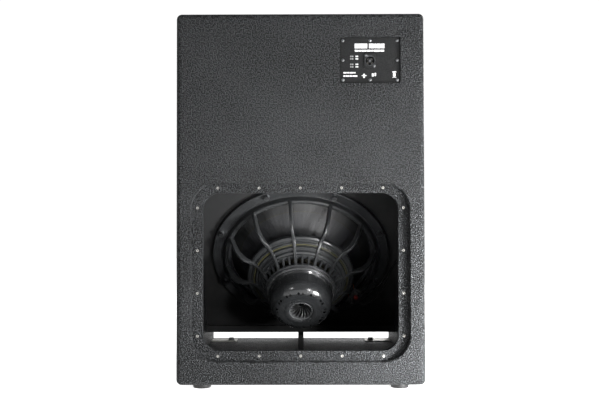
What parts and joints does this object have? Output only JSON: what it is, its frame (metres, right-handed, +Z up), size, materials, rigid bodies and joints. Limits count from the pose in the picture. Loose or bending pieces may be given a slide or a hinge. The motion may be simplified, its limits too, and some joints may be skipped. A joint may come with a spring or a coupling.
{
  "type": "bass loudspeaker cabinet",
  "caption": "Tall portable bass loudspeaker with a leaning woofer, floor-level slot port and an open rear access hatch; passive, with one rear speaker socket.",
  "frame": {"origin": "on the ground, under the middle of the cabinet", "axes": "+Z up, +Y towards the front grille, -Y out of the rear face, +X to the right of someone facing the rear"},
  "size_m": [0.56, 0.7, 0.8475],
  "materials": {
    "cabinet_paint": "plywood under black textured paint, semi-matt",
    "inside_paint": "plywood under thin matt black paint",
    "plate_paint": "satin black powder coat with light print",
    "black_screw": "black oxide steel",
    "bright_steel": "zinc-plated steel",
    "grille_paint": "black powder-coated perforated steel",
    "foam": "open-cell black foam",
    "foot_rubber": "black rubber",
    "socket_plastic": "black moulded plastic",
    "contact_metal": "plated contacts",
    "wire_skin": "soft plastic wire skin",
    "clip_plastic": "black moulded plastic",
    "basket_paint": "cast aluminium, satin black paint",
    "gasket_foam": "black foam rubber",
    "cone_paper": "coated paper",
    "surround_cloth": "doped cloth",
    "spider_cloth": "phenolic cloth, yellow-green",
    "coil_former": "glass-fibre former",
    "copper": "enamelled copper",
    "motor_paint": "satin dark grey paint on steel",
    "motor_steel": "zinc-plated steel",
    "magnet": "nickel-plated magnet",
    "red_plastic": "red moulded plastic",
    "black_plastic": "black moulded plastic",
    "handle_paint": "black powder-coated steel",
    "handle_rubber": "black rubber grip"
  },
  "bodies": {
    "cabinet": {"side_panel_left": "cabinet_paint", "side_panel_right": "cabinet_paint", "top_panel": "cabinet_paint", "bottom_panel": "cabinet_paint", "back_panel": "cabinet_paint", "hatch_ledge_frame": "cabinet_paint", "driver_baffle": "inside_paint", "upper_baffle": "inside_paint", "port_shelf": "inside_paint", "port_divider": "inside_paint", "grille_batten_left": "inside_paint", "grille_batten_right": "inside_paint", "grille": "grille_paint", "grille_foam": "foam", "grille_screws": "black_screw", "rubber_feet": "foot_rubber", "foot_washers": "bright_steel", "foot_screws": "bright_steel", "foot_plates": "bright_steel", "foot_plate_bolts": "black_screw", "hatch_inserts": "bright_steel", "input_plate": "plate_paint", "input_plate_screws": "black_screw", "speaker_socket": "socket_plastic", "socket_contacts": "contact_metal", "socket_screws": "black_screw", "wire_negative": "wire_skin", "wire_positive": "wire_skin", "cable_clips": "clip_plastic", "clip_screws": "bright_steel", "basket": "basket_paint", "basket_gasket": "gasket_foam", "driver_bolts": "black_screw", "driver_washers": "black_screw", "baffle_t_nuts": "bright_steel", "surround": "surround_cloth", "spider": "spider_cloth", "top_plate": "motor_steel", "pole_piece": "motor_steel", "magnet": "magnet", "motor_pot": "motor_paint", "vent_heat_sink": "motor_paint", "terminal_board": "black_plastic", "tinsel_leads": "copper", "handle_cup_left": "handle_paint", "handle_cup_right": "handle_paint", "handle_bar_left": "handle_rubber", "handle_bar_right": "handle_rubber", "handle_screws": "black_screw", "pole_mount": "handle_paint", "pole_mount_screws": "black_screw"},
    "cone_assembly": {"cone": "cone_paper", "dust_cap": "cone_paper", "voice_coil_former": "coil_former", "voice_coil_winding": "copper"},
    "red_button": {"terminal_button_red": "red_plastic"},
    "black_button": {"terminal_button_black": "black_plastic"}
  },
  "joints": [
    {"name": "cone_travel", "type": "slide", "parent": "cabinet", "child": "cone_assembly", "axis": [0, 0.766, 0.6428], "range_m": [-0.012, 0.012], "stiffness_N_per_m": 9700, "deforming": ["surround", "spider", "tinsel_leads"]},
    {"name": "red_button_press", "type": "slide", "parent": "cabinet", "child": "red_button", "axis": [0, 0.766, 0.6428], "range_m": [0, 0.0028], "stiffness_N_per_m": 1500},
    {"name": "black_button_press", "type": "slide", "parent": "cabinet", "child": "black_button", "axis": [0, 0.766, 0.6428], "range_m": [0, 0.0028], "stiffness_N_per_m": 1500}
  ]
}
